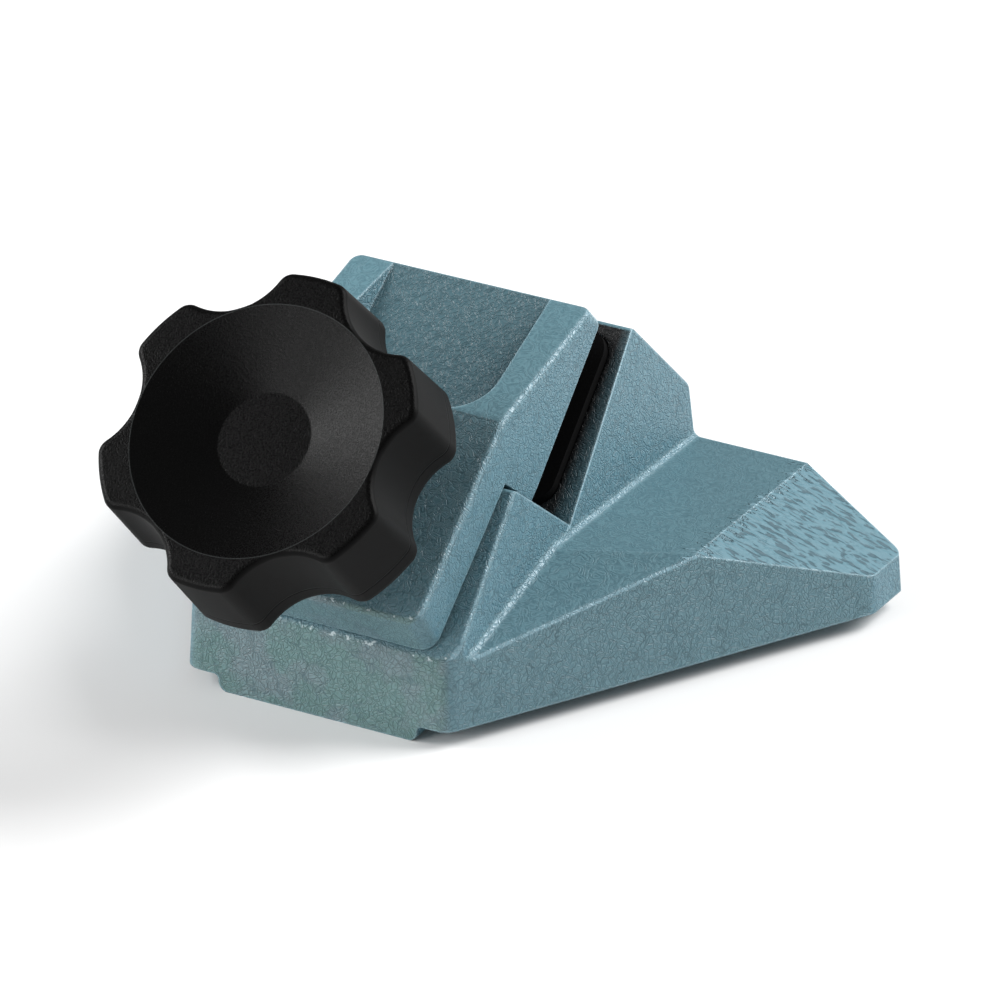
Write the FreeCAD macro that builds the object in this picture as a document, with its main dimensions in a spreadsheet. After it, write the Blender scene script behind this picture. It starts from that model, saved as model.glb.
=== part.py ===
import FreeCAD, Part
import math
import os
import Sketcher
from FreeCAD import Placement, Rotation, Vector

# Micrometer stand: a fan-shaped iron base with a slanted clamp for a micrometer frame.
# Millimetres. X runs from the knob to the rear, Z is up, and the stand is symmetric about Y = 0.
# The origin lies on the floor, under the middle of the front foot bar.

# Driving sizes
SIZES = {
    # Feet under the casting
    "foot_height": 3.3,
    "foot_bar_depth": 5.0,
    "foot_bar_length": 43.2,
    "foot_corner": 2.0,
    "foot_cove": 1.0,
    "rear_pad_depth": 9.0,
    "rear_pad_length": 18.0,
    "rear_pad_inset": 8.5,
    "rear_pad_spacing": 92.0,
    # Fan-shaped body, seen from above
    "front_width": 56.0,
    "splay_angle": 29.1,
    "splay_length": 83.3,
    "base_length": 95.75,
    "casting_draft": 3.0,
    # Deck, its sloping edges and the ramp in front
    "deck_height": 25.7,
    "deck_width": 107.4,
    "edge_slope": 35.7,
    "ramp_height": 19.4,
    "ramp_pitch": 14.6,
    "ramp_fall": 7.0,
    # Ridge that forms the lip and the block. It stands out a little past the front's width,
    # and the block's sides lean more than the rest.
    "ridge_step": 2.15,
    "block_draft": 2.3,
    # Roundings of the casting
    "front_corner": 4.0,
    "flank_corner": 5.0,
    "rear_corner": 1.5,
    "front_edge": 2.0,
    "cove_radius": 1.7,
    "lip_edge": 1.0,
    "block_corner": 3.0,
    # Clamp: its slope and the place where the stud meets the seat
    "slope_angle": 45.0,
    "seat_setback": 15.07,
    "axis_height": 32.07,
    "lip_length": 15.2,
    "block_back_height": 34.83,
    "slot_width": 13.0,
    "floor_angle": 6.8,
    # Jaw
    "seat_gap": 0.94,
    "shoulder_depth": 12.57,
    "shoulder_gap": 0.7,
    "jaw_thickness": 10.0,
    "jaw_top_thickness": 4.83,
    "jaw_setback": 3.6,
    "jaw_length_down": 19.3,
    "jaw_bend": 24.3,
    "toe_angle": 10.5,
    "toe_corner": 3.5,
    "top_corner": 2.5,
    "bend_radius": 4.0,
    "jaw_edge": 1.4,
    "jaw_width": 52.4,
    "jaw_narrowing": 1.5,
    "scoop_width": 34.0,
    "scoop_length": 30.7,
    "scoop_tilt": 12.0,
    "scoop_draft": 18.0,
    "scoop_corner": 10.0,
    # Clamping pads
    "pad_thickness": 3.0,
    "pad_recess": 1.0,
    "pad_width": 47.6,
    "block_pad_margin": 2.5,
    "jaw_pad_margin": 3.4,
    "pad_start": 20.0,
    "pad_corner": 5.0,
    "pad_play": 0.2,
    # Stud, washer and spring
    "stud_diameter": 10.0,
    "thread_clearance": 0.05,
    "stud_depth": 27.0,
    "tapped_depth": 29.0,
    "stud_hole": 11.0,
    "washer_diameter": 21.0,
    "washer_hole": 10.5,
    "washer_thickness": 2.0,
    "spring_wire": 1.4,
    "spring_diameter": 13.4,
    "spring_turns": 5.0,
    "spring_bore": 16.0,
    "spring_play": 0.05,
    "base_spring_depth": 9.0,
    "jaw_spring_depth": 4.0,
    # Star knob
    "knob_length": 38.1,
    "knob_radius": 31.4,
    "knob_head": 21.0,
    "knob_draft": 2.0,
    "lobe_corner": 3.0,
    "knob_front_edge": 1.2,
    "knob_back_edge": 2.6,
    "hub_radius": 14.0,
    "lobe_count": 6,
    "flute_radius": 12.1,
    "flute_reach": 26.4,
    "dish_radius": 25.0,
    "dish_floor_radius": 9.25,
    "dish_depth": 4.4,
    "bush_radius": 8.0,
    "bush_length": 20.0,
    "stud_in_knob": 18.0,
}

# Sizes worked out from the driving ones. The block's sloping back meets the rear face, the jaw
# ends a little below the block's top, and each pad keeps a margin to the end of its face.
WORKED_OUT = {
    "block_length": "=(base_length - seat_setback) * cos(slope_angle)"
                    " + (block_back_height - axis_height) * sin(slope_angle)",
    "jaw_length_up": "=block_length - jaw_setback",
    "block_pad_length": "=block_length - pad_start - block_pad_margin",
    "jaw_pad_length": "=jaw_length_up - pad_start - jaw_pad_margin",
}

doc = FreeCAD.newDocument("micrometer_stand")
sheet = doc.addObject("Spreadsheet::Sheet", "Sizes")
for row, (name, value) in enumerate({**SIZES, **WORKED_OUT}.items(), start=1):
    sheet.set(f"A{row}", name)
    sheet.set(f"B{row}", str(value))
    sheet.setAlias(f"B{row}", name)
doc.recompute()

# Values that several pieces share, as expressions on the sheet
FOOT = "Sizes.foot_height"
SLOPE = "Sizes.slope_angle"
BLOCK_FACE = "(Sizes.seat_gap - Sizes.shoulder_depth - Sizes.slot_width)"
JAW_BACK = "(Sizes.seat_gap - Sizes.shoulder_depth)"
JAW_FRONT = "(Sizes.seat_gap + Sizes.jaw_thickness)"
HUB_FACE = "(Sizes.seat_gap + Sizes.jaw_thickness + Sizes.washer_thickness)"
KNOB_FACE = "(" + HUB_FACE + " + Sizes.knob_length)"
KNOB_BACK = "(" + KNOB_FACE + " - Sizes.knob_head)"
FLOOR_RISE = "tan(Sizes.floor_angle)"
BLOCK_START = ("(Sizes.seat_setback + (Sizes.lip_length - " + BLOCK_FACE + " * (1 + " + FLOOR_RISE
               + ")) * cos(Sizes.slope_angle))")
FAR = "300"
WIRE_SIDES = 6


def size(name):
    """The value of one cell of the sheet."""
    return float(sheet.get(name))


def new_body(name, in_clamp=True):
    """An empty body. A piece of the clamp stands on the stud's axis, square to the seat."""
    body = doc.addObject("PartDesign::Body", name)
    body.Label = name
    if in_clamp:
        body.Placement = Placement(Vector(), Rotation(Vector(0, -1, 0), size("slope_angle")))
        body.setExpression("Placement.Base.x", "Sizes.seat_setback - Sizes.foot_bar_depth / 2")
        body.setExpression("Placement.Base.z", "Sizes.axis_height")
        body.setExpression("Placement.Rotation.Angle", "Sizes.slope_angle")
    else:
        body.setExpression("Placement.Base.x", "-Sizes.foot_bar_depth / 2")
    return body


def new_sketch(body, name, plane, shift=("0", "0", "0"), axis=(0, 0, 1), turn="0"):
    """A sketch on one of the body's own planes, moved and turned by expressions."""
    sketch = body.newObject("Sketcher::SketchObject", name)
    planes = {feature.Role: feature for feature in body.Origin.OriginFeatures}
    sketch.AttachmentSupport = (planes[plane + "_Plane"], [""])
    sketch.MapMode = "FlatFace"
    if turn != "0":
        sketch.AttachmentOffset = Placement(Vector(), Rotation(Vector(*axis), 1))
        sketch.setExpression("AttachmentOffset.Rotation.Angle", turn)
    for letter, amount in zip("xyz", shift):
        if amount != "0":
            sketch.setExpression("AttachmentOffset.Base." + letter, amount)
    return sketch


def add_outline(sketch, corners):
    """Close a polygon in the sketch. Each corner is a pair of expressions."""
    first = sketch.GeometryCount
    count = len(corners)
    rough = [Vector(math.cos(i * math.tau / count), math.sin(i * math.tau / count), 0)
             for i in range(count)]
    for i in range(count):
        sketch.addGeometry(Part.LineSegment(rough[i], rough[(i + 1) % count]), False)
    for i in range(count):
        following = first + (i + 1) % count
        sketch.addConstraint(Sketcher.Constraint("Coincident", first + i, 2, following, 1))
    for i, corner in enumerate(corners):
        for letter, text, value in zip("XY", corner, (rough[i].x, rough[i].y)):
            rule = Sketcher.Constraint("Distance" + letter, -1, 1, first + i, 1, value)
            index = sketch.addConstraint(rule)
            label = f"{letter.lower()}{first + i}"
            sketch.renameConstraint(index, label)
            sketch.setExpression("Constraints." + label, text)


def add_circle(sketch, radius, centre=("0", "0")):
    """A circle in the sketch, its radius and centre given as expressions."""
    index = sketch.addGeometry(Part.Circle(Vector(), Vector(0, 0, 1), 1), False)
    rules = [("radius", Sketcher.Constraint("Radius", index, 1.0), radius),
             ("across", Sketcher.Constraint("DistanceX", -1, 1, index, 3, 0.0), centre[0]),
             ("up", Sketcher.Constraint("DistanceY", -1, 1, index, 3, 0.0), centre[1])]
    for label, rule, text in rules:
        number = sketch.addConstraint(rule)
        sketch.renameConstraint(number, f"{label}{index}")
        sketch.setExpression(f"Constraints.{label}{index}", text)


def extrude(body, kind, name, sketch, length=FAR, both_ways=False, taper=None, flip=False,
            direction=None):
    """A pad or a pocket of a sketch."""
    feature = body.newObject("PartDesign::" + kind, name)
    feature.Profile = sketch
    feature.setExpression("Length", length)
    feature.SideType = "Symmetric" if both_ways else "One side"
    feature.Reversed = flip
    if taper:
        feature.setExpression("TaperAngle", taper)
    if direction:
        feature.UseCustomVector = True
        for letter, text in zip("xyz", direction):
            feature.setExpression("Direction." + letter, text)
    doc.recompute()
    return feature


def middle(edge):
    """The point halfway along an edge."""
    return edge.valueAt((edge.FirstParameter + edge.LastParameter) / 2)


def low_end(edge):
    """The lower end of an edge."""
    return min((corner.Point for corner in edge.Vertexes), key=lambda point: point.z)


def runs(edge, *direction):
    """Whether an edge runs along a direction, give or take a few degrees."""
    chord = edge.Vertexes[-1].Point - edge.Vertexes[0].Point
    along = abs(chord.dot(Vector(*direction).normalize()))
    return chord.Length > 0.01 and along > 0.98 * chord.Length


def lean_faces(body, name, angle, chosen, root):
    """Give the faces that one test picks a draft, measured from the face of the other test."""
    base = body.Tip
    faces = list(enumerate(base.Shape.Faces, start=1))
    draft = body.newObject("PartDesign::Draft", name)
    draft.Base = (base, [f"Face{i}" for i, face in faces if chosen(face)])
    draft.NeutralPlane = (base, [f"Face{i}" for i, face in faces if root(face)])
    draft.Reversed = True
    draft.setExpression("Angle", angle)
    doc.recompute()
    return draft


def round_edges(body, name, radius, chosen):
    """Fillet the edges of the body's last feature that the test picks."""
    base = body.Tip
    edges = [f"Edge{i}" for i, edge in enumerate(base.Shape.Edges, start=1) if chosen(edge)]
    if not edges:
        raise RuntimeError(name + " finds no edge")
    fillet = body.newObject("PartDesign::Fillet", name)
    fillet.Base = (base, edges)
    fillet.setExpression("Radius", radius)
    doc.recompute()
    return fillet


def half(name):
    """Half of one size, as an expression."""
    return f"Sizes.{name} / 2"


def rectangle(left, low, right, high):
    """The corners of a rectangle, for add_outline."""
    return [(left, low), (right, low), (right, high), (left, high)]


def pad_outline(length, play):
    """A pad or its recess, seen square to the slope. The play is left all round."""
    return rectangle(f"Sizes.pad_start + {play}", f"-{half('pad_width')} + {play}",
                     f"Sizes.pad_start + Sizes.{length} - {play}", f"{half('pad_width')} - {play}")


def on_slope(height):
    """The place of a plane square to the stud, at a height over the seat."""
    return (f"Sizes.seat_setback - {height} * sin({SLOPE})", "0",
            f"Sizes.axis_height + {height} * cos({SLOPE})")


def round_casting(body):
    """Soft edges of the block, the front and the lip. The lip's run on along the ramps."""
    slope = math.radians(size("slope_angle"))
    away, up = math.cos(slope), math.sin(slope)
    seat, axis, lip = size("seat_setback"), size("axis_height"), size("lip_length")
    deck, block = size("deck_height"), size("block_length")
    recess = size("seat_gap") - size("shoulder_depth") - size("slot_width")

    def crosswise(edge, x, z):
        place = middle(edge)
        return runs(edge, 0, 1, 0) and abs(place.x - x) < 1.5 and abs(place.z - z) < 1.5

    def along_lip(edge):
        place = middle(edge)
        beside = runs(edge, away, 0, up) and abs(place.y) > size("front_width") / 3
        return beside and size("ramp_height") + 3 < place.z < axis + lip * up and place.x < seat + 10

    round_edges(body, "block_back", "Sizes.block_corner",
                lambda edge: runs(edge, 0, 1, 0) and middle(edge).z > deck + 5
                and middle(edge).x > size("base_length") - 8)
    round_edges(body, "front_edge", "Sizes.front_edge",
                lambda edge: crosswise(edge, 0.8, axis - seat + 0.8))
    round_edges(body, "block_top", "Sizes.lip_edge",
                lambda edge: crosswise(edge, seat + block * away - recess * up,
                                       axis + block * up + recess * away))
    round_edges(body, "lip_edges", "Sizes.lip_edge",
                lambda edge: along_lip(edge) or crosswise(edge, seat + lip * away, axis + lip * up))


def make_base_casting():
    """The fan-shaped casting with its deck, ramps, lip, seat and block."""
    body = new_body("base_casting", in_clamp=False)
    splay = "tan(Sizes.splay_angle)"
    rear_half = f"({half('front_width')} + Sizes.splay_length * {splay})"
    rise = f"(Sizes.deck_height - {FOOT})"

    # Fan body up to the deck
    plan = new_sketch(body, "fan_plan", "XY", ("0", "0", FOOT))
    add_outline(plan, [("0", "-" + half("front_width")), ("Sizes.splay_length", "-" + rear_half),
                       ("Sizes.base_length", "-" + rear_half), ("Sizes.base_length", rear_half),
                       ("Sizes.splay_length", rear_half), ("0", half("front_width"))])
    extrude(body, "Pad", "fan", plan, rise)

    # Sloping edges beside the deck
    drop = "(80 * tan(Sizes.edge_slope))"
    for side, name in (("-", "near"), ("", "far")):
        inner = side + half("deck_width")
        outer = f"{side}({half('deck_width')} + 80)"
        edge = new_sketch(body, name + "_edge_profile", "YZ")
        add_outline(edge, [(inner, "Sizes.deck_height"), (outer, "Sizes.deck_height - " + drop),
                           (outer, "Sizes.deck_height + 40"), (inner, "Sizes.deck_height + 40")])
        extrude(body, "Pocket", name + "_edge", edge, both_ways=True)

    # Ramps, which rise to the rear and fall towards the flanks
    top = f"Sizes.ramp_height + {FAR} * tan(Sizes.ramp_pitch)"
    for side, name in (("-", "near"), ("", "far")):
        ramp = new_sketch(body, name + "_ramp_profile", "XZ")
        add_outline(ramp, [("-20", "Sizes.ramp_height - 20 * tan(Sizes.ramp_pitch)"),
                           (FAR, top), (FAR, top + " + 50"), ("-20", top + " + 50")])
        extrude(body, "Pocket", name + "_ramp", ramp,
                direction=("0", side + "cos(Sizes.ramp_fall)", "-sin(Sizes.ramp_fall)"))

    # Ridge along the middle, which becomes the lip and the block
    ridge_half = f"({half('front_width')} + Sizes.ridge_step)"
    ridge_start = f"(Sizes.ridge_step / {splay})"
    ridge = new_sketch(body, "ridge_plan", "XY", ("0", "0", FOOT))
    add_outline(ridge, [("0", "-" + half("front_width")), (ridge_start, "-" + ridge_half),
                        ("Sizes.base_length", "-" + ridge_half),
                        ("Sizes.base_length", ridge_half),
                        (ridge_start, ridge_half), ("0", half("front_width"))])
    extrude(body, "Pad", "ridge", ridge, "Sizes.axis_height + Sizes.block_length")
    lean_faces(body, "upright_draft", "Sizes.casting_draft",
               lambda face: abs(face.normalAt(0, 0).z) < 0.001,
               lambda face: face.normalAt(0, 0).z < -0.999)

    # Rounded upright corners of the fan, and coves along the foot of the ridge
    for name, place in (("front_corner", 0), ("flank_corner", size("splay_length")),
                        ("rear_corner", size("base_length"))):
        round_edges(body, name + "s", "Sizes." + name,
                    lambda edge: runs(edge, 0, 0, 1) and abs(low_end(edge).x - place) < 0.01)
    ridge_y = size("front_width") / 2 + size("ridge_step")
    climb = math.tan(math.radians(size("ramp_pitch")))

    def at_ridge_foot(edge):
        place = middle(edge)
        return (place.z < size("deck_height") + 0.1 and abs(abs(place.y) - ridge_y) < 2
                and (runs(edge, 1, 0, 0) or runs(edge, 1, 0, climb)))

    round_edges(body, "ridge_coves", "Sizes.cove_radius", at_ridge_foot)

    # The clamp's form is cut out of the ridge: seat, lip, slot and block
    clamp = ("Sizes.seat_setback", "Sizes.axis_height", "0")
    profile = new_sketch(body, "clamp_profile", "XZ", clamp, turn="Sizes.slope_angle")
    slot_foot = f"Sizes.lip_length - {BLOCK_FACE} * {FLOOR_RISE}"
    add_outline(profile, [("-150", "0"), ("Sizes.lip_length", "0"), (slot_foot, BLOCK_FACE),
                          ("Sizes.block_length", BLOCK_FACE), ("Sizes.block_length", "-150"),
                          ("150", "-150"), ("150", "150"), ("-150", "150")])
    extrude(body, "Pocket", "clamp_form", profile, both_ways=True)

    # The block's sides lean more than the rest of the casting
    foot = f"(Sizes.axis_height + ({slot_foot} + {BLOCK_FACE}) * sin({SLOPE}))"
    foot_half = f"({ridge_half} - ({foot} - {FOOT}) * tan(Sizes.casting_draft))"
    lean = "tan(Sizes.casting_draft + Sizes.block_draft)"
    for side, name in (("-", "near"), ("", "far")):
        sliver = new_sketch(body, name + "_block_profile", "YZ", ("0", "0", BLOCK_START))
        add_outline(sliver, [(side + foot_half, foot),
                             (f"{side}({foot_half} - 60 * {lean})", foot + " + 60"),
                             (f"{side}({foot_half} + 5)", foot + " + 60")])
        extrude(body, "Pocket", name + "_block_side", sliver, flip=True)
    round_casting(body)

    # Recess for the block's pad, and the tapped hole with the spring's seat
    face = new_sketch(body, "pad_recess_outline", "XY", on_slope(BLOCK_FACE), (0, -1, 0), SLOPE)
    add_outline(face, pad_outline("block_pad_length", "0"))
    extrude(body, "Pocket", "pad_recess", face, "Sizes.pad_recess")
    out = (-math.sin(math.radians(size("slope_angle"))), 0,
           math.cos(math.radians(size("slope_angle"))))
    round_edges(body, "pad_recess_corners", "Sizes.pad_corner",
                lambda edge: runs(edge, *out) and edge.Length < size("pad_recess") + 0.1
                and abs(abs(middle(edge).y) - size("pad_width") / 2) < 0.01)
    for name, radius, depth in (("stud_hole", f"({half('stud_diameter')} + Sizes.thread_clearance)",
                                 "Sizes.tapped_depth"),
                                ("spring_seat", half("spring_bore"), "Sizes.base_spring_depth")):
        seat = new_sketch(body, name + "_circle", "XY", on_slope("0"), (0, -1, 0), SLOPE)
        add_circle(seat, radius)
        extrude(body, "Pocket", name, seat, depth)

    # Feet: a bar along the front and a pad at each rear corner
    feet = new_sketch(body, "feet_plan", "XY")
    add_outline(feet, rectangle("0", "-" + half("foot_bar_length"), "Sizes.foot_bar_depth",
                                half("foot_bar_length")))
    pad_rear = "(Sizes.base_length - Sizes.rear_pad_inset)"
    for side in ("-", ""):
        inner = f"{side}(Sizes.rear_pad_spacing - Sizes.rear_pad_length) / 2"
        outer = f"{side}(Sizes.rear_pad_spacing + Sizes.rear_pad_length) / 2"
        add_outline(feet, rectangle(pad_rear + " - Sizes.rear_pad_depth", inner, pad_rear, outer))
    extrude(body, "Pad", "feet", feet, FOOT)
    bar_end = size("foot_bar_length") / 2
    for name, radius, height in (("foot_corners", "min(Sizes.foot_corner; 0.6 * Sizes.foot_height)", 0),
                                 ("foot_coves", "min(Sizes.foot_cove; 0.3 * Sizes.foot_height)",
                                  size("foot_height"))):
        round_edges(body, name, radius,
                    lambda edge: runs(edge, 1, 0, 0) and abs(middle(edge).z - height) < 0.01
                    and abs(abs(middle(edge).y) - bar_end) < 0.01)
    return body


def round_jaw(body):
    """Soft corners of the jaw, and one rounding that runs all round its front."""
    wide = size("jaw_width") / 2
    top, toe = size("jaw_length_up"), -size("jaw_length_down")
    front = size("seat_gap") + size("jaw_thickness")
    toe_lean = math.tan(math.radians(size("toe_angle")))

    def at_side(edge):
        return abs(abs(middle(edge).y) - wide) < size("jaw_narrowing") + 0.5

    round_edges(body, "front_bend", "Sizes.bend_radius",
                lambda edge: runs(edge, 0, 1, 0) and abs(middle(edge).z - front) < 0.01
                and abs(middle(edge).x - size("jaw_bend")) < 0.01)
    round_edges(body, "toe_corners", "Sizes.toe_corner",
                lambda edge: at_side(edge) and runs(edge, toe_lean, 0, 1) and middle(edge).x < toe + 5)
    round_edges(body, "top_corners", "Sizes.top_corner",
                lambda edge: at_side(edge) and runs(edge, 0, 0, 1) and middle(edge).x > top - 1)
    round_edges(body, "front_rim", "Sizes.jaw_edge",
                lambda edge: at_side(edge) and runs(edge, 1, 0, 0) and abs(middle(edge).z - front) < 0.01)


def make_clamp_jaw():
    """The sliding jaw: a thick foot, a shoulder over the lip and a scooped, tapering top."""
    body = new_body("clamp_jaw")
    shoulder_low = ("(Sizes.lip_length + Sizes.shoulder_gap - Sizes.seat_gap * " + FLOOR_RISE + ")")
    shoulder_high = f"({shoulder_low} + Sizes.shoulder_depth * {FLOOR_RISE})"
    toe = "(-Sizes.jaw_length_down + Sizes.jaw_thickness * tan(Sizes.toe_angle))"
    profile = new_sketch(body, "jaw_profile", "XZ")
    add_outline(profile, [("Sizes.jaw_length_up", JAW_BACK), (shoulder_high, JAW_BACK),
                          (shoulder_low, "Sizes.seat_gap"),
                          ("-Sizes.jaw_length_down", "Sizes.seat_gap"), (toe, JAW_FRONT),
                          ("Sizes.jaw_bend", JAW_FRONT),
                          ("Sizes.jaw_length_up", JAW_BACK + " + Sizes.jaw_top_thickness")])
    extrude(body, "Pad", "jaw_form", profile, "Sizes.jaw_width", both_ways=True)

    # The sides close in towards the toe
    for side, name in (("-", "near"), ("", "far")):
        sliver = new_sketch(body, name + "_side_outline", "XY", ("0", "0", "-100"))
        add_outline(sliver, [("Sizes.jaw_bend - Sizes.bend_radius", side + half("jaw_width")),
                             ("-Sizes.jaw_length_down - 1",
                              f"{side}({half('jaw_width')} - Sizes.jaw_narrowing)"),
                             ("-Sizes.jaw_length_down - 1", f"{side}({half('jaw_width')} + 1)")])
        extrude(body, "Pocket", name + "_side", sliver, flip=True)

    round_jaw(body)

    # Scoop in the top face, between two side ribs. Its three walls lean outwards.
    scoop = new_sketch(body, "scoop_outline", "YZ",
                       ("0", f"{JAW_BACK} + Sizes.jaw_top_thickness"
                        " + Sizes.scoop_length * sin(Sizes.scoop_tilt)",
                        "Sizes.jaw_length_up - Sizes.scoop_length * cos(Sizes.scoop_tilt)"),
                       (1, 0, 0), "Sizes.scoop_tilt - Sizes.scoop_draft")
    mouth = f"({half('scoop_width')} + 30 * sin(Sizes.scoop_draft))"
    add_outline(scoop, [("-" + half("scoop_width"), "0"), (half("scoop_width"), "0"),
                        (mouth, "30"), ("-" + mouth, "30")])
    extrude(body, "Pocket", "scoop", scoop,
            direction=("cos(Sizes.scoop_tilt)", "0", "-sin(Sizes.scoop_tilt)"))
    tilt, lean = math.radians(size("scoop_tilt")), math.radians(size("scoop_draft"))

    def at_scoop_corner(edge, side):
        return runs(edge, math.sin(tilt - lean), side * math.sin(lean), math.cos(tilt - lean))

    round_edges(body, "scoop_corners", "Sizes.scoop_corner",
                lambda edge: at_scoop_corner(edge, 1) or at_scoop_corner(edge, -1))

    # Recess for the pad, hole for the stud and seat for the spring
    face = new_sketch(body, "pad_recess_outline", "XY", ("0", "0", JAW_BACK))
    add_outline(face, pad_outline("jaw_pad_length", "0"))
    extrude(body, "Pocket", "pad_recess", face, "Sizes.pad_recess", flip=True)
    round_edges(body, "pad_recess_corners", "Sizes.pad_corner",
                lambda edge: runs(edge, 0, 0, 1) and edge.Length < size("pad_recess") + 0.1
                and abs(abs(middle(edge).y) - size("pad_width") / 2) < 0.01)
    hole = new_sketch(body, "stud_hole_circle", "XY", ("0", "0", "Sizes.seat_gap - 1"))
    add_circle(hole, half("stud_hole"))
    extrude(body, "Pocket", "stud_hole", hole, flip=True)
    seat = new_sketch(body, "spring_seat_circle", "XY", ("0", "0", "Sizes.seat_gap"))
    add_circle(seat, half("spring_bore"))
    extrude(body, "Pocket", "spring_seat", seat, "Sizes.jaw_spring_depth", flip=True)
    return body


def make_pad(name, length, recess_floor, flip):
    """A rubber pad in its recess. It stands proud of the metal."""
    body = new_body(name)
    outline = new_sketch(body, "pad_outline", "XY", ("0", "0", recess_floor))
    add_outline(outline, pad_outline(length, "Sizes.pad_play"))
    extrude(body, "Pad", "pad_form", outline, "Sizes.pad_thickness", flip=flip)
    round_edges(body, "pad_corners", "Sizes.pad_corner - Sizes.pad_play",
                lambda edge: runs(edge, 0, 0, 1))
    return body


def make_ring(name, start, length, outer, inner):
    """A plain ring or tube on the stud's axis."""
    body = new_body(name)
    ring = new_sketch(body, "ring_circles", "XY", ("0", "0", start))
    add_circle(ring, outer)
    add_circle(ring, inner)
    extrude(body, "Pad", "ring", ring, length)
    return body


def make_clamp_stud():
    """The stud, from its fast end in the knob's bush to its tip in the tapped hole."""
    body = new_body("clamp_stud")
    circle = new_sketch(body, "stud_circle", "XY", ("0", "0", "-Sizes.stud_depth"))
    add_circle(circle, half("stud_diameter"))
    extrude(body, "Pad", "stud", circle, f"Sizes.stud_depth + {HUB_FACE} + Sizes.stud_in_knob")
    return body


def make_return_spring():
    """The coil spring round the stud. It pushes the jaw off the base. Its wire has flats."""
    body = new_body("return_spring")
    wire = new_sketch(body, "wire_section", "XZ")
    low = "(-Sizes.base_spring_depth + Sizes.spring_wire / 2 + Sizes.spring_play)"
    high = ("(Sizes.seat_gap + Sizes.jaw_spring_depth - Sizes.spring_wire / 2"
            " - Sizes.spring_play)")
    corners = []
    for i in range(WIRE_SIDES):
        turn = f"({i + 0.5} * 360 / {WIRE_SIDES})"
        corners.append((f"{half('spring_diameter')} + {half('spring_wire')} * cos({turn})",
                        f"{low} + {half('spring_wire')} * sin({turn})"))
    add_outline(wire, corners)
    coil = body.newObject("PartDesign::AdditiveHelix", "coil")
    coil.Profile = wire
    coil.ReferenceAxis = (wire, ["V_Axis"])
    coil.Mode = "height-turns-growth"
    coil.setExpression("Height", f"{high} - {low}")
    coil.setExpression("Turns", "Sizes.spring_turns")
    coil.Growth = 0
    doc.recompute()
    return body


def round_knob(body):
    """Rounded sides of the lobes, and soft edges in front and behind."""
    back = size("seat_gap") + size("jaw_thickness") + size("washer_thickness") + size("knob_length")
    face, back = back, back - size("knob_head")

    def outside(edge):
        place = middle(edge)
        return math.hypot(place.x, place.y) > size("dish_radius") + 0.5

    round_edges(body, "lobe_corners", "Sizes.lobe_corner",
                lambda edge: outside(edge) and runs(edge, 0, 0, 1))
    for name, height in (("knob_back_edge", back), ("knob_front_edge", face)):
        round_edges(body, name, "Sizes." + name,
                    lambda edge: outside(edge) and abs(middle(edge).z - height) < 0.01
                    and abs(low_end(edge).z - height) < 0.01)


def make_knob():
    """The moulded star knob: a fluted head with a dished face, and a hub behind it."""
    body = new_body("knob")
    back_radius = "(Sizes.knob_radius + Sizes.knob_head * tan(Sizes.knob_draft))"
    profile = new_sketch(body, "knob_profile", "XZ")
    add_outline(profile, [("0", HUB_FACE), ("Sizes.hub_radius", HUB_FACE),
                          ("Sizes.hub_radius", KNOB_BACK), (back_radius, KNOB_BACK),
                          ("Sizes.knob_radius", KNOB_FACE), ("Sizes.dish_radius", KNOB_FACE),
                          ("Sizes.dish_floor_radius", KNOB_FACE + " - Sizes.dish_depth"),
                          ("0", KNOB_FACE + " - Sizes.dish_depth")])
    turned = body.newObject("PartDesign::Revolution", "turned_form")
    turned.Profile = profile
    turned.ReferenceAxis = (profile, ["V_Axis"])
    turned.Angle = 360
    doc.recompute()

    # Flutes between the lobes. A lobe points straight up the slope.
    reach = "(Sizes.flute_reach + Sizes.flute_radius)"
    flute = new_sketch(body, "flute_circle", "XY", ("0", "0", KNOB_BACK + " - 1"))
    add_circle(flute, "Sizes.flute_radius", (reach + " * cos(180 / Sizes.lobe_count)",
                                             reach + " * sin(180 / Sizes.lobe_count)"))
    first = extrude(body, "Pocket", "flute", flute, taper="Sizes.knob_draft", flip=True)
    flutes = body.newObject("PartDesign::PolarPattern", "flutes")
    flutes.Originals = [first]
    flutes.Axis = (flute, ["N_Axis"])
    flutes.Angle = 360
    flutes.setExpression("Occurrences", "Sizes.lobe_count")
    body.Tip = flutes
    doc.recompute()
    round_knob(body)

    # Seat of the moulded-in bush
    bush = new_sketch(body, "bush_circle", "XY", ("0", "0", HUB_FACE))
    add_circle(bush, "Sizes.bush_radius")
    extrude(body, "Pocket", "bush_seat", bush, "Sizes.bush_length", flip=True)
    return body


def check_and_save(bodies):
    """Stop at any failed feature or bad shape, and write one file per piece."""
    for item in doc.Objects:
        if "Invalid" in item.State or "Error" in item.State:
            raise RuntimeError(item.Name + " has failed")
    os.makedirs("parts", exist_ok=True)
    for body in bodies:
        shape = body.Shape
        if shape.isNull() or not shape.isValid() or len(shape.Solids) != 1:
            raise RuntimeError(body.Label + " is not one valid solid")
        shape.exportStep(f"parts/{body.Label}.step")
        print(f"{body.Label}: {shape.Volume / 1000:.2f} cm3")


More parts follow.
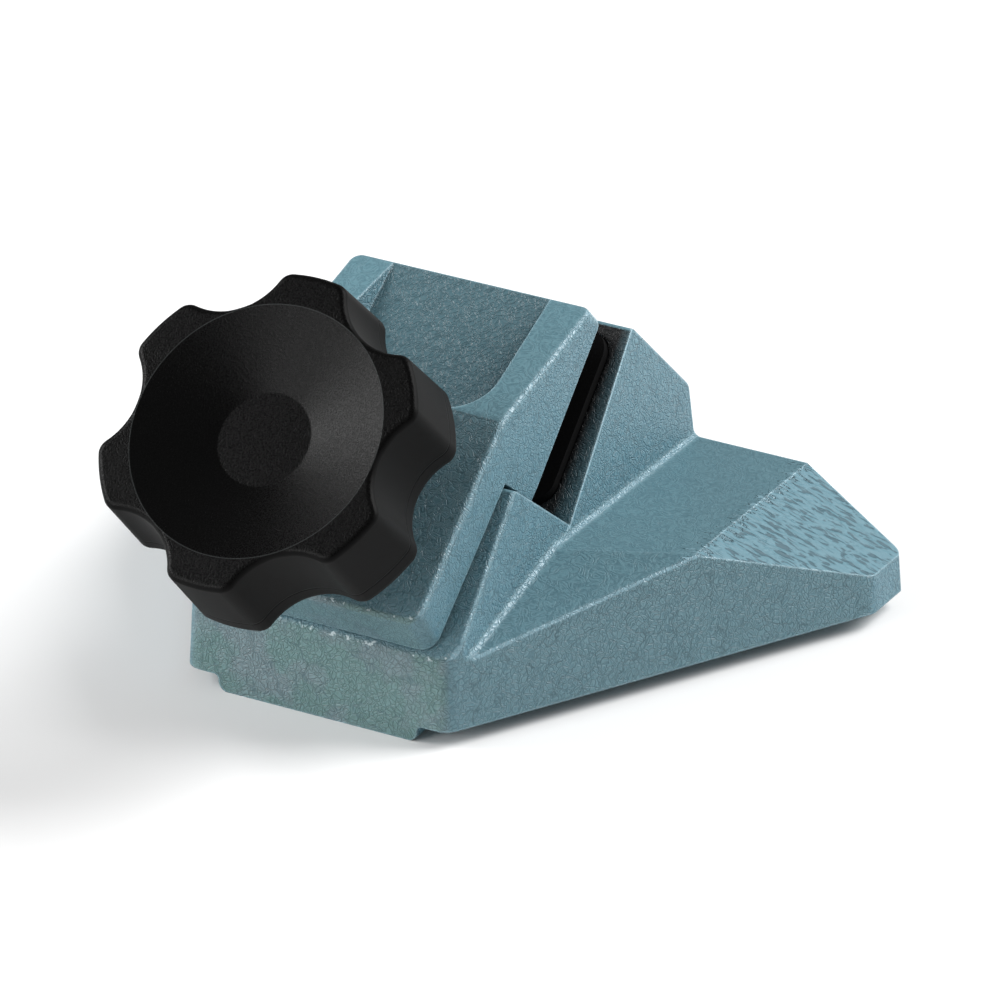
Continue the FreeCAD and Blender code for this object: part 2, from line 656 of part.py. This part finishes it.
pieces = [
    make_base_casting(),
    make_clamp_jaw(),
    make_pad("block_pad", "block_pad_length", BLOCK_FACE + " - Sizes.pad_recess", flip=False),
    make_pad("jaw_pad", "jaw_pad_length", JAW_BACK + " + Sizes.pad_recess", flip=True),
    make_ring("thrust_washer", JAW_FRONT, "Sizes.washer_thickness", half("washer_diameter"),
              half("washer_hole")),
    make_clamp_stud(),
    make_return_spring(),
    make_ring("knob_bush", HUB_FACE, "Sizes.bush_length", "Sizes.bush_radius",
              half("stud_diameter")),
    make_knob(),
]
doc.recompute()
check_and_save(pieces)
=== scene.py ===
import math

import bpy
from mathutils import Matrix, Vector


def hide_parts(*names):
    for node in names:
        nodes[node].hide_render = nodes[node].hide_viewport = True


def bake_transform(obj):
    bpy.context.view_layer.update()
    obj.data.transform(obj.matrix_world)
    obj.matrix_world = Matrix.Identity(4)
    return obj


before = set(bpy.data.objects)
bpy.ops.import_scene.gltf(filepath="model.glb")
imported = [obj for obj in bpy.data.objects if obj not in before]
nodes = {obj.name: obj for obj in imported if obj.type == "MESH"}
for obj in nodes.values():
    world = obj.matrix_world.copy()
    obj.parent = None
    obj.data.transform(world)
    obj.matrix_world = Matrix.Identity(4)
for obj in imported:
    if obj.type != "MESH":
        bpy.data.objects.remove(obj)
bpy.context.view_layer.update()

# The camera that matches the photograph, in metres and degrees
CAMERA_HEADING = 29.47
CAMERA_DOWN = 26.07
CAMERA_PLACE = Vector((-1.29055, -0.76723, 0.77843))
LENS = 324.0
SENSOR = 36.0

# The lamps point here, from this distance
STAND_MIDDLE = Vector((0.03, 0, 0.04))
LAMP_DISTANCE = 1.2
WORLD_STRENGTH = 0.28
FLOOR_HALF = 6.0

# The clamp's slope: the stud meets the seat at SEAT and points outward from there
MM = 0.001
SLOPE = math.radians(45)
SEAT = Vector((12.57 * MM, 0, 32.07 * MM))
UP_SLOPE = Vector((math.cos(SLOPE), 0, math.sin(SLOPE)))
OUTWARD = Vector((-math.sin(SLOPE), 0, math.cos(SLOPE)))
ACROSS = Vector((0, 1, 0))

# Heights over the seat, along the stud
KNOB_FACE = 51.04 * MM
PARTING_LINE = KNOB_FACE - 15.75 * MM
DISH_RADIUS = 25 * MM
SPRING_FOOT = -8.95 * MM
SPRING_HEAD = 4.89 * MM
BLOCK_FACE = -24.63 * MM

# The lip's top, up the slope from the seat, and half the widths of the pads and the block
LIP_TOP = 15.2 * MM
PAD_HALF = 24.3 * MM
BLOCK_HALF = 28.5 * MM

# Half the deck's width, and the way that streaks run down its sloping edges
DECK_HALF = 53.7 * MM
EDGE_SLOPE = math.radians(35.7)
STREAK = Vector((0.475, 0.714, -0.514))
STREAK_ACROSS = Vector((-0.880, 0.386, -0.277))
BORDER_TEETH = 13 * MM

# Return spring and thread
WIRE_RADIUS = 0.7 * MM
WIRE_SIDES = 12
COIL_RADIUS = 6.7 * MM
COIL_TURNS = 5.0
STEPS_A_TURN = 40
THREAD_PITCH = 1.5 * MM

# The enamel's pattern: scales are in repeats to the metre
CELL_SCALE = 1000.0
VEIN_SCALE = 215.0
SWIRL_SCALE = 330.0
SWIRL_LINES = 6.0
STREAK_SCALE = 1100.0
STREAK_STRETCH = 0.28
CELL_WARP = 2.4 * MM
ENAMEL_RELIEF = 0.08 * MM
EDGE_RADIUS = 0.6 * MM


def join(tree, socket, value):
    """Link a socket to another one, or give it a plain value."""
    if isinstance(value, bpy.types.NodeSocket):
        tree.links.new(value, socket)
    else:
        socket.default_value = value


class Nodes:
    """A short way to build a material's node tree."""

    def __init__(self, name):
        self.material = bpy.data.materials.new(name)
        self.material.use_nodes = True
        self.tree = self.material.node_tree
        self.shader = self.tree.nodes["Principled BSDF"]

    def add(self, kind, inputs=None, **settings):
        node = self.tree.nodes.new("ShaderNode" + kind)
        for key, value in settings.items():
            setattr(node, key, value)
        for key, value in (inputs or {}).items():
            join(self.tree, node.inputs[key], value)
        return node

    def maths(self, operation, a, b=0.0):
        return self.add("Math", {0: a, 1: b}, operation=operation).outputs[0]

    def plus(self, a, b):
        return self.maths("ADD", a, b)

    def minus(self, a, b):
        return self.maths("SUBTRACT", a, b)

    def times(self, first, *others):
        for other in others:
            first = self.maths("MULTIPLY", first, other)
        return first

    def apart(self, a, b):
        """How far two numbers lie apart."""
        return self.maths("ABSOLUTE", self.minus(a, b))

    def dot(self, a, b):
        return self.add("VectorMath", {0: a, 1: b}, operation="DOT_PRODUCT").outputs["Value"]

    def along(self, place, direction, origin=SEAT):
        """How far a place lies from the origin along a direction."""
        shift = self.add("VectorMath", {0: place, 1: origin}, operation="SUBTRACT")
        return self.dot(shift.outputs[0], direction)

    def spread(self, value, low, high, to_low=0.0, to_high=1.0):
        """A number that goes from to_low to to_high as the value goes from low to high."""
        node = self.add("MapRange", {"Value": value, "From Min": low, "From Max": high,
                                     "To Min": to_low, "To Max": to_high}, clamp=True)
        return node.outputs["Result"]

    def mix(self, factor, a, b):
        """A colour between a and b."""
        return self.add("Mix", {0: factor, 6: a, 7: b}, data_type="RGBA").outputs[2]

    def mix_vector(self, factor, a, b):
        return self.add("Mix", {0: factor, 4: a, 5: b}, data_type="VECTOR").outputs[1]

    def blend(self, factor, a, b):
        """A number between a and b."""
        return self.plus(self.times(a, self.minus(1.0, factor)), self.times(b, factor))

    def noise(self, place, scale, detail=2.0, roughness=0.5, distortion=0.0, output="Fac"):
        return self.add("TexNoise", {"Vector": place, "Scale": scale, "Detail": detail,
                                     "Roughness": roughness,
                                     "Distortion": distortion}).outputs[output]

    def edge_distance(self, place, scale):
        """How far a place lies inside its cell of a Voronoi pattern."""
        node = self.add("TexVoronoi", {"Vector": place, "Scale": scale},
                        feature="DISTANCE_TO_EDGE")
        return node.outputs["Distance"]

    def soft_normal(self, radius):
        """The surface's direction with its edges rounded to a radius."""
        return self.add("Bevel", {"Radius": radius}, samples=4).outputs["Normal"]

    def bump(self, height, distance, under=None):
        inputs = {"Height": height, "Distance": distance, "Strength": 1.0}
        if under is not None:
            inputs["Normal"] = under
        return self.add("Bump", inputs).outputs["Normal"]

    def set(self, **inputs):
        for key, value in inputs.items():
            join(self.tree, self.shader.inputs[key.replace("_", " ")], value)


def rgb(r, g, b):
    """A colour given as the eye sees it, from 0 to 255, turned to linear values."""
    def linear(v):
        v /= 255
        return v / 12.92 if v <= 0.04045 else ((v + 0.055) / 1.055) ** 2.4
    return (linear(r), linear(g), linear(b), 1.0)


# Enamel colours
BLUE_DARK = rgb(74, 109, 121)
BLUE_LIGHT = rgb(86, 123, 134)
SIDE_BLUE = rgb(68, 113, 131)
FRONT_GREEN = rgb(84, 114, 110)
FRONT_GREY = rgb(102, 117, 121)
CELL_BORDER = rgb(44, 76, 86)
CELL_RING = rgb(122, 154, 160)
VEIN_DARK = rgb(40, 68, 77)
SWIRL_DARK = rgb(64, 98, 109)
SWIRL_LIGHT = rgb(100, 138, 148)
SPARKLE = rgb(122, 153, 163)
SLOPE_LIGHT = rgb(86, 126, 139)
SLOPE_STREAK = rgb(50, 86, 98)
# The next five colours are painted highlights, painted glints and painted shade
ROUND_EDGE_HIGHLIGHT = rgb(130, 163, 176)
SHARP_EDGE_HIGHLIGHT = rgb(158, 190, 202)
SCOOP_SHADE = rgb(52, 80, 88)
GLINT_WHITE = rgb(180, 196, 200)
SLOT_SHADE = rgb(8, 12, 15)

# Plastic, rubber and metal colours
PLASTIC_BLACK = rgb(5, 5, 5)
LINE_BLACK = rgb(1, 1, 1)
# A painted highlight round the knob's dish
RIM_HIGHLIGHT = rgb(42, 44, 44)
RUBBER_DARK = rgb(3, 3, 3)
RUBBER_LIGHT = rgb(7, 7, 8)
ZINC = (0.62, 0.63, 0.65, 1)
BRASS = (0.72, 0.56, 0.28, 1)
SPRING_STEEL = (0.5, 0.5, 0.52, 1)


def add_camera():
    """The photograph's viewpoint: a long lens from the front left, looking down."""
    heading, down = math.radians(CAMERA_HEADING), math.radians(CAMERA_DOWN)
    forward = Vector((math.cos(down) * math.cos(heading), math.cos(down) * math.sin(heading),
                      -math.sin(down)))
    right = Vector((math.sin(heading), -math.cos(heading), 0))
    up = right.cross(forward)
    data = bpy.data.cameras.new("camera")
    data.lens = LENS
    data.sensor_width = SENSOR
    data.clip_start = 0.05
    data.clip_end = 20
    camera = bpy.data.objects.new("camera", data)
    turn = Matrix((right, up, -forward)).transposed()
    camera.matrix_world = Matrix.Translation(CAMERA_PLACE) @ turn.to_4x4()
    bpy.context.scene.collection.objects.link(camera)
    bpy.context.scene.camera = camera


def hammertone_paint():
    """Blue-grey hammered enamel for both castings.

    Upright faces have ringed cells and broken veins, level ones have swirls, and the deck's
    sloping edges are bright with dark streaks that run down them. Edges and coves carry a painted
    highlight, the jaw's scoop a painted shade, the front's top edge painted white glints, and the
    block's face a painted black shade round its pad."""
    n = Nodes("hammertone_paint")
    place = n.add("TexCoord").outputs["Object"]
    flat = n.add("NewGeometry").outputs["Normal"]
    soft = n.soft_normal(EDGE_RADIUS)
    sharp = n.spread(n.dot(flat, soft), 0.998, 0.97)
    facing = n.add("SeparateXYZ", {0: flat}).outputs
    spots = n.add("SeparateXYZ", {0: place}).outputs
    sideways = n.maths("ABSOLUTE", facing["Y"])
    outward = n.maths("ABSOLUTE", spots["Y"])
    slope_facing = n.dot(flat, OUTWARD)
    over_seat = n.along(place, OUTWARD)
    level = n.spread(facing["Z"], 0.86, 0.93)
    upright = n.minus(1.0, level)
    near = n.spread(spots["X"], 80 * MM, 35 * MM)
    fine = n.noise(place, 1500.0, 3.0, 0.6)

    # Ringed cells of about 1 mm inside veins 5 mm apart
    warp = n.noise(place, 500.0, 1.0, output="Color")
    shift = n.add("VectorMath", {0: warp, "Scale": CELL_WARP}, operation="SCALE").outputs[0]
    bent = n.add("VectorMath", {0: place, 1: shift}, operation="ADD").outputs[0]
    inward = n.edge_distance(bent, CELL_SCALE)
    border = n.spread(inward, 0.12, 0.0)
    ring = n.times(n.spread(inward, 0.06, 0.16), n.spread(inward, 0.36, 0.20))
    broken = n.spread(n.noise(place, 300.0), 0.42, 0.55)
    vein = n.times(n.spread(n.edge_distance(bent, VEIN_SCALE), 0.04, 0.012), broken)
    cell_height = n.minus(n.times(ring, 0.5), n.maths("MAXIMUM", border, vein))

    # Swirls like contour lines on the level faces, stronger near the clamp
    swirl = n.noise(place, SWIRL_SCALE, 3.0, distortion=1.2)
    lines = n.times(n.maths("PINGPONG", n.times(swirl, SWIRL_LINES), 0.5), 2.0)
    swirl_share = n.blend(near, 0.4, 0.6)
    swirl_height = n.times(lines, swirl_share)

    # Streaks down the sloping edges, whose border with the deck is jagged
    mirrored = n.add("CombineXYZ", {0: spots["X"], 1: outward, 2: spots["Z"]}).outputs[0]
    run = n.add("CombineXYZ", {0: n.times(n.along(mirrored, STREAK), STREAK_STRETCH),
                               1: n.along(mirrored, STREAK_ACROSS)}).outputs[0]
    wrinkle = n.noise(run, STREAK_SCALE, distortion=0.5)
    streak = n.spread(wrinkle, 0.48, 0.42)
    jagged = n.plus(outward, n.times(n.minus(wrinkle, 0.5), BORDER_TEETH))
    risen = n.spread(facing["Z"], 0.72, 0.78)
    sloping = n.times(n.spread(jagged, DECK_HALF - 0.3 * MM, DECK_HALF + 0.1 * MM), risen)
    lean = n.times(n.maths("SIGN", spots["Y"]), math.sin(EDGE_SLOPE))
    tilted = n.add("CombineXYZ", {1: lean, 2: math.cos(EDGE_SLOPE)}).outputs[0]
    near_border = n.times(n.spread(n.apart(outward, DECK_HALF), 3.0 * MM, 2.5 * MM), risen)
    soft = n.mix_vector(near_border, soft, n.mix_vector(sloping, (0, 0, 1), tilted))

    height = n.blend(level, cell_height, swirl_height)
    height = n.plus(height, n.times(fine, 0.5))
    height = n.blend(sloping, height, n.times(wrinkle, 8.0))

    # A painted highlight: a pale line along sharp edges, and along rounded ones between a side and
    # a top
    rounded = n.times(n.spread(sideways, 0.36, 0.50), n.spread(sideways, 0.90, 0.78),
                      n.spread(facing["Z"], 0.15, 0.25), n.minus(1.0, sloping))
    edge = n.times(n.maths("MAXIMUM", sharp, rounded),
                   n.spread(n.noise(place, 700.0), 0.35, 0.5, 0.6, 1.0))

    # The enamel's own colour, bluer on the sides and patched with grey and green in front
    side = n.spread(sideways, 0.90, 0.98)
    base = n.mix(n.noise(place, 45.0), BLUE_DARK, BLUE_LIGHT)
    base = n.mix(n.times(side, 0.6), base, SIDE_BLUE)
    patches = n.spread(n.noise(place, 110.0), 0.45, 0.58)
    base = n.mix(n.spread(facing["X"], -0.75, -0.95), base,
                 n.mix(patches, FRONT_GREEN, FRONT_GREY))
    base = n.mix(n.times(border, upright, 0.24), base, CELL_BORDER)
    base = n.mix(n.times(ring, upright, 0.3), base, CELL_RING)
    base = n.mix(n.times(vein, upright, 0.5), base, VEIN_DARK)
    base = n.mix(n.times(level, swirl_share), base, n.mix(lines, SWIRL_DARK, SWIRL_LIGHT))
    base = n.mix(n.spread(fine, 0.3, 0.7, 0.0, 0.24), base, SPARKLE)
    base = n.mix(sloping, base, n.mix(streak, SLOPE_LIGHT, SLOPE_STREAK))
    # Painted highlight along the edges and coves
    base = n.mix(n.times(edge, 0.8), base, n.mix(sharp, ROUND_EDGE_HIGHLIGHT, SHARP_EDGE_HIGHLIGHT))

    # A painted highlight: the pale line along the block's edges in the slot
    slot_edge_highlight = n.times(n.spread(n.apart(over_seat, BLOCK_FACE), 0.7 * MM, 0.4 * MM), side,
                        n.spread(n.along(place, UP_SLOPE), LIP_TOP, LIP_TOP + MM))
    base = n.mix(n.times(slot_edge_highlight, 0.7), base, SHARP_EDGE_HIGHLIGHT)

    # Painted shade in the jaw's scoop, darker where the knob shades it
    scoop_shade = n.times(n.spread(slope_facing, 0.992, 0.986), n.spread(slope_facing, 0.95, 0.965),
                     n.spread(facing["Z"], 0.80, 0.82, 0.0, 0.55))
    base = n.mix(scoop_shade, base, SCOOP_SHADE)

    # Painted glints: white dashes along the front's top edge
    painted_glint = n.times(n.spread(facing["Z"], 0.15, 0.25), n.spread(facing["Z"], 0.66, 0.60),
                    n.spread(facing["X"], -0.60, -0.70),
                    n.spread(n.noise(place, 900.0), 0.58, 0.64))
    base = n.mix(painted_glint, base, GLINT_WHITE)

    # Painted shade: black round the pad in the slot, which fades towards the block's sides
    slot = n.times(n.spread(slope_facing, 0.985, 0.995),
                   n.spread(over_seat, -1.5 * MM, -2.5 * MM),
                   n.spread(outward, BLOCK_HALF, PAD_HALF))
    base = n.mix(slot, base, SLOT_SHADE)

    rough = n.spread(fine, 0.3, 0.7, 0.34, 0.48)
    # Rougher on the sloping edges and where the slot's shade is painted
    rough = n.blend(n.maths("MAXIMUM", sloping, slot), rough, 0.6)
    n.set(Base_Color=base, Roughness=n.blend(edge, rough, 0.26), Metallic=0.0,
          Specular_IOR_Level=0.45, Normal=n.bump(height, ENAMEL_RELIEF, under=soft))
    return n.material


def knob_plastic():
    """Black moulded plastic: a grain on the face with a painted highlight, a thin pale line round
    the dish, smoother satin on the sides, and the mould's parting line round the lobes."""
    n = Nodes("knob_plastic")
    place = n.add("TexCoord").outputs["Object"]
    flat = n.add("NewGeometry").outputs["Normal"]
    face = n.spread(n.dot(flat, OUTWARD), 0.6, 0.85)
    from_line = n.apart(n.along(place, OUTWARD), PARTING_LINE)
    line = n.times(n.spread(from_line, 0.25 * MM, 0.1 * MM), n.minus(1.0, face))
    spot = n.add("CombineXYZ", {0: n.along(place, UP_SLOPE), 1: n.along(place, ACROSS)})
    reach = n.add("VectorMath", {0: spot.outputs[0]}, operation="LENGTH").outputs["Value"]
    # Painted highlight: a thin pale line round the dish's edge
    rim_highlight = n.times(n.spread(n.apart(reach, DISH_RADIUS), 0.14 * MM, 0.04 * MM), face)
    grain = n.noise(place, 3200.0, 2.0, 0.6)
    height = n.minus(n.times(grain, n.blend(face, 0.2, 1.0)), n.times(line, 1.5))
    base = n.mix(rim_highlight, n.mix(line, PLASTIC_BLACK, LINE_BLACK), RIM_HIGHLIGHT)
    rough = n.blend(face, 0.55, n.spread(grain, 0.35, 0.65, 0.2, 0.36))
    n.set(Base_Color=base, Roughness=rough, Specular_IOR_Level=0.075,
          Normal=n.bump(height, 0.07 * MM, under=n.soft_normal(0.3 * MM)))
    return n.material


def rubber():
    """Matt black rubber with a faint bloom."""
    n = Nodes("rubber")
    place = n.add("TexCoord").outputs["Object"]
    bloom = n.noise(place, 180.0, 4.0)
    n.set(Base_Color=n.mix(bloom, RUBBER_DARK, RUBBER_LIGHT), Roughness=0.8,
          Specular_IOR_Level=0.1, Normal=n.bump(n.noise(place, 1800.0), 0.04 * MM))
    return n.material


def metal(name, colour, roughness, threaded=False):
    """Turned or drawn metal with fine marks, and a screw thread where asked for."""
    n = Nodes(name)
    place = n.add("TexCoord").outputs["Object"]
    marks = n.noise(place, 900.0, 4.0)
    height = n.times(marks, 0.1)
    if threaded:
        angle = n.maths("ARCTAN2", n.along(place, ACROSS), n.along(place, UP_SLOPE))
        turns = n.times(n.along(place, OUTWARD), math.tau / THREAD_PITCH)
        height = n.plus(height, n.maths("SINE", n.minus(turns, angle)))
    n.set(Base_Color=colour, Metallic=1.0,
          Roughness=n.spread(marks, 0.3, 0.7, roughness - 0.06, roughness + 0.08),
          Normal=n.bump(height, 0.2 * MM))
    return n.material


def add_coil(material):
    """The return spring as a round wire, its end turns flat."""
    rise = SPRING_HEAD - SPRING_FOOT - 2 * WIRE_RADIUS
    count = int(COIL_TURNS * STEPS_A_TURN)
    vertices, faces = [], []
    for i in range(count + 1):
        turn = math.tau * i / STEPS_A_TURN
        climb = min(max((i / STEPS_A_TURN - 0.75) / (COIL_TURNS - 1.5), 0.0), 1.0)
        height = SPRING_FOOT + WIRE_RADIUS + climb * rise
        outward = UP_SLOPE * math.cos(turn) + ACROSS * math.sin(turn)
        for j in range(WIRE_SIDES):
            round_wire = math.tau * j / WIRE_SIDES
            reach = COIL_RADIUS + WIRE_RADIUS * math.cos(round_wire)
            lift = height + WIRE_RADIUS * math.sin(round_wire)
            vertices.append(SEAT + outward * reach + OUTWARD * lift)
    for i in range(count):
        here, after = i * WIRE_SIDES, (i + 1) * WIRE_SIDES
        for j in range(WIRE_SIDES):
            k = (j + 1) % WIRE_SIDES
            faces.append((here + j, here + k, after + k, after + j))
    faces.append(tuple(range(WIRE_SIDES))[::-1])
    faces.append(tuple(range(count * WIRE_SIDES, (count + 1) * WIRE_SIDES)))
    mesh = bpy.data.meshes.new("return_spring_coil")
    mesh.from_pydata(vertices, [], faces)
    mesh.shade_smooth()
    mesh.materials.append(material)
    coil = bpy.data.objects.new("return_spring_coil", mesh)
    bpy.context.scene.collection.objects.link(coil)
    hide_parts("return_spring")
    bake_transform(coil)


def dress(node, material):
    """Give a CAD node a new material in its slots."""
    slots = nodes[node].material_slots
    if slots:
        for slot in slots:
            slot.material = material
    else:
        nodes[node].data.materials.append(material)


def add_stage():
    """A plain pale floor and a soft white world."""
    corners = [(-FLOOR_HALF, -FLOOR_HALF, 0), (FLOOR_HALF, -FLOOR_HALF, 0),
               (FLOOR_HALF, FLOOR_HALF, 0), (-FLOOR_HALF, FLOOR_HALF, 0)]
    mesh = bpy.data.meshes.new("floor")
    mesh.from_pydata(corners, [], [(0, 1, 2, 3)])
    floor = bpy.data.objects.new("floor", mesh)
    bpy.context.scene.collection.objects.link(floor)
    n = Nodes("floor")
    n.set(Base_Color=rgb(235, 235, 235), Roughness=0.9, Specular_IOR_Level=0.0)
    mesh.materials.append(n.material)

    world = bpy.data.worlds.new("world")
    bpy.context.scene.world = world
    world.use_nodes = True
    background = world.node_tree.nodes["Background"]
    background.inputs["Color"].default_value = (1, 1, 1, 1)
    background.inputs["Strength"].default_value = WORLD_STRENGTH


def add_lamp(name, direction, width, power):
    """A soft square lamp that shines on the stand from a direction."""
    data = bpy.data.lights.new(name, "AREA")
    data.shape = "SQUARE"
    data.size = width
    data.energy = power
    lamp = bpy.data.objects.new(name, data)
    away = Vector(direction).normalized()
    lamp.location = STAND_MIDDLE + away * LAMP_DISTANCE
    lamp.rotation_euler = (-away).to_track_quat("-Z", "Y").to_euler()
    bpy.context.scene.collection.objects.link(lamp)


def add_lamps():
    """A key lamp from the knob's left, one high behind, and one in front that grazes the edges."""
    add_lamp("key_lamp", (-0.36, 0.79, 0.48), 0.5, 10.0)
    add_lamp("back_lamp", (0.54, -0.56, 0.63), 0.8, 21.0)
    add_lamp("front_lamp", (-0.85, 0.40, 0.30), 0.5, 6.5)


add_camera()
add_stage()
add_lamps()
paint = hammertone_paint()
for node in ("base_casting", "clamp_jaw"):
    dress(node, paint)
dress("knob", knob_plastic())
pads = rubber()
for node in ("block_pad", "jaw_pad"):
    dress(node, pads)
dress("thrust_washer", metal("zinc_plate", ZINC, 0.3))
dress("clamp_stud", metal("zinc_thread", ZINC, 0.3, threaded=True))
dress("knob_bush", metal("turned_brass", BRASS, 0.3))
add_coil(metal("spring_wire", SPRING_STEEL, 0.25))

bpy.context.scene.view_settings.view_transform = "Standard"
